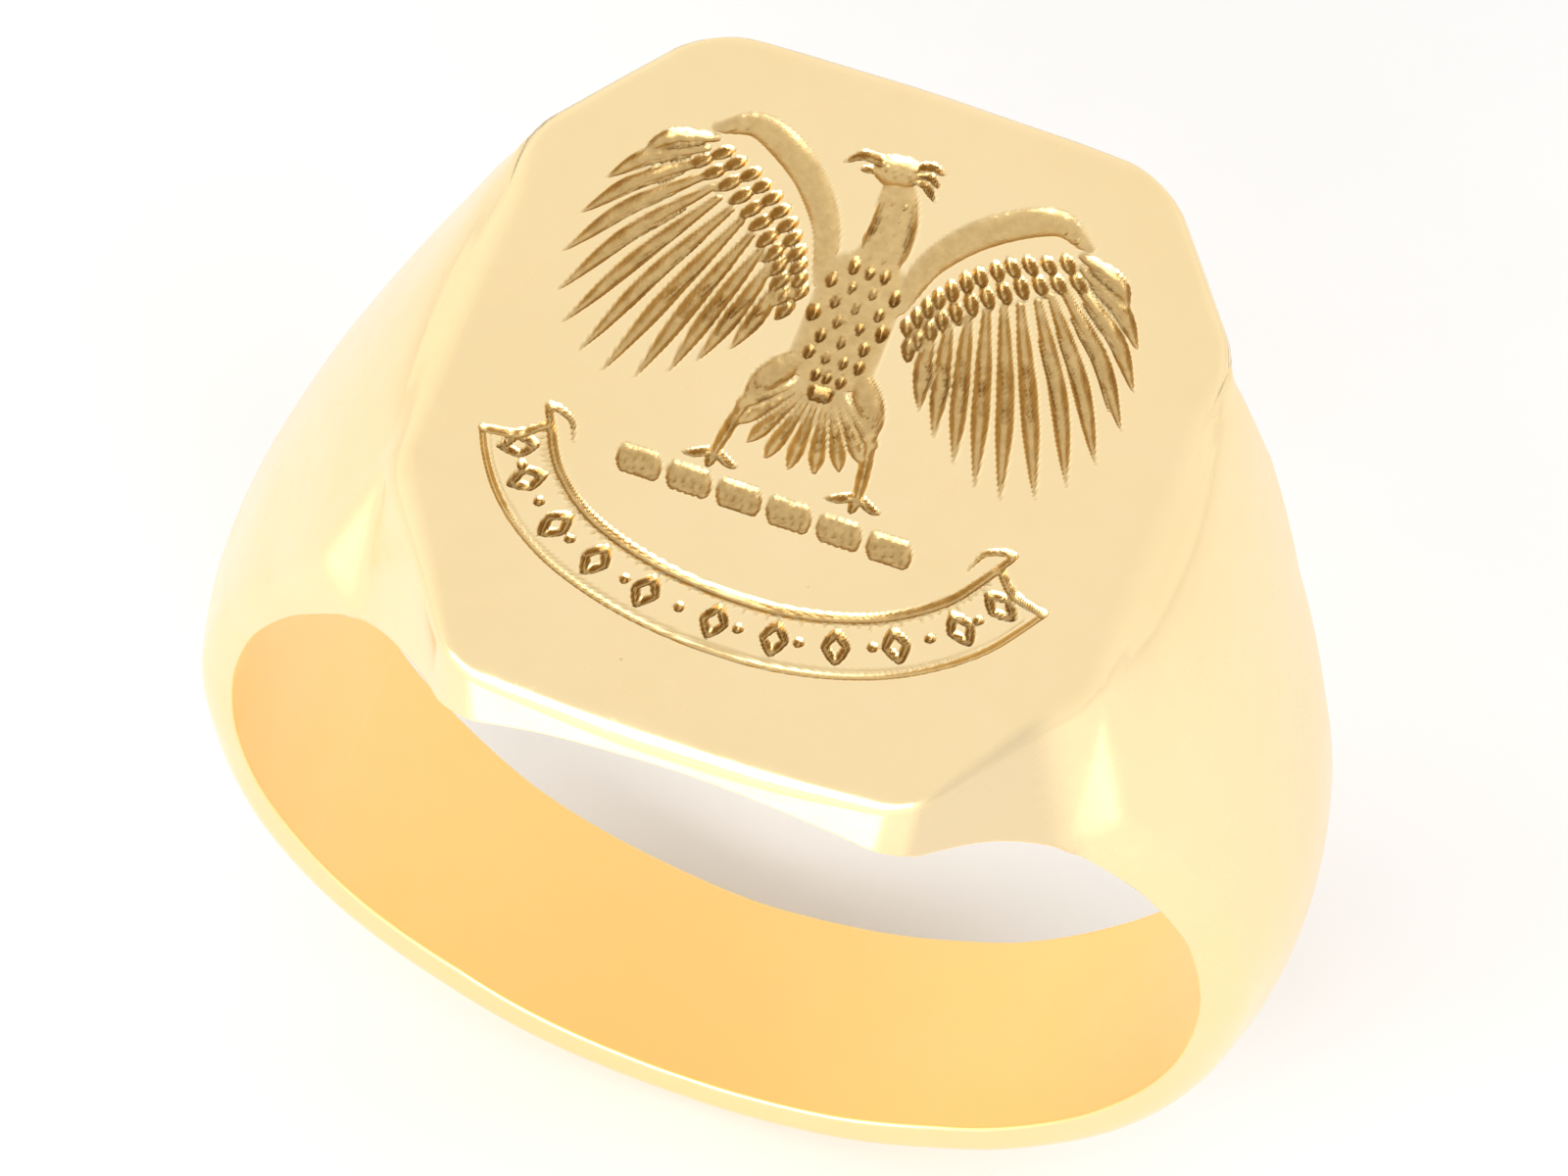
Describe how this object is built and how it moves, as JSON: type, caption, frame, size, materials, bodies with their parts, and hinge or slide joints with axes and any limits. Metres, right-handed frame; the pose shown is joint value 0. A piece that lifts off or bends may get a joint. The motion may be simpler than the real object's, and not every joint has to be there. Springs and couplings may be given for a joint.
{
  "type": "signet ring",
  "caption": "Yellow gold signet ring with an eight-sided engraved seal face, tapering shoulders and a D-section shank.",
  "frame": {"origin": "centre of the finger bore, on the bore axis and midway across the band", "axes": "+Z from the bore axis up through the seal face, Y along the finger, X across the finger"},
  "size_m": [0.0202, 0.0148, 0.0199],
  "materials": {
    "gold": "polished",
    "solder": "polished"
  },
  "bodies": {
    "root": {"signet_head": "gold", "left_shoulder": "gold", "right_shoulder": "gold", "back_shank": "gold", "head_seam_left": "solder", "head_seam_right": "solder", "shank_seam_left": "solder", "shank_seam_right": "solder"}
  },
  "joints": []
}
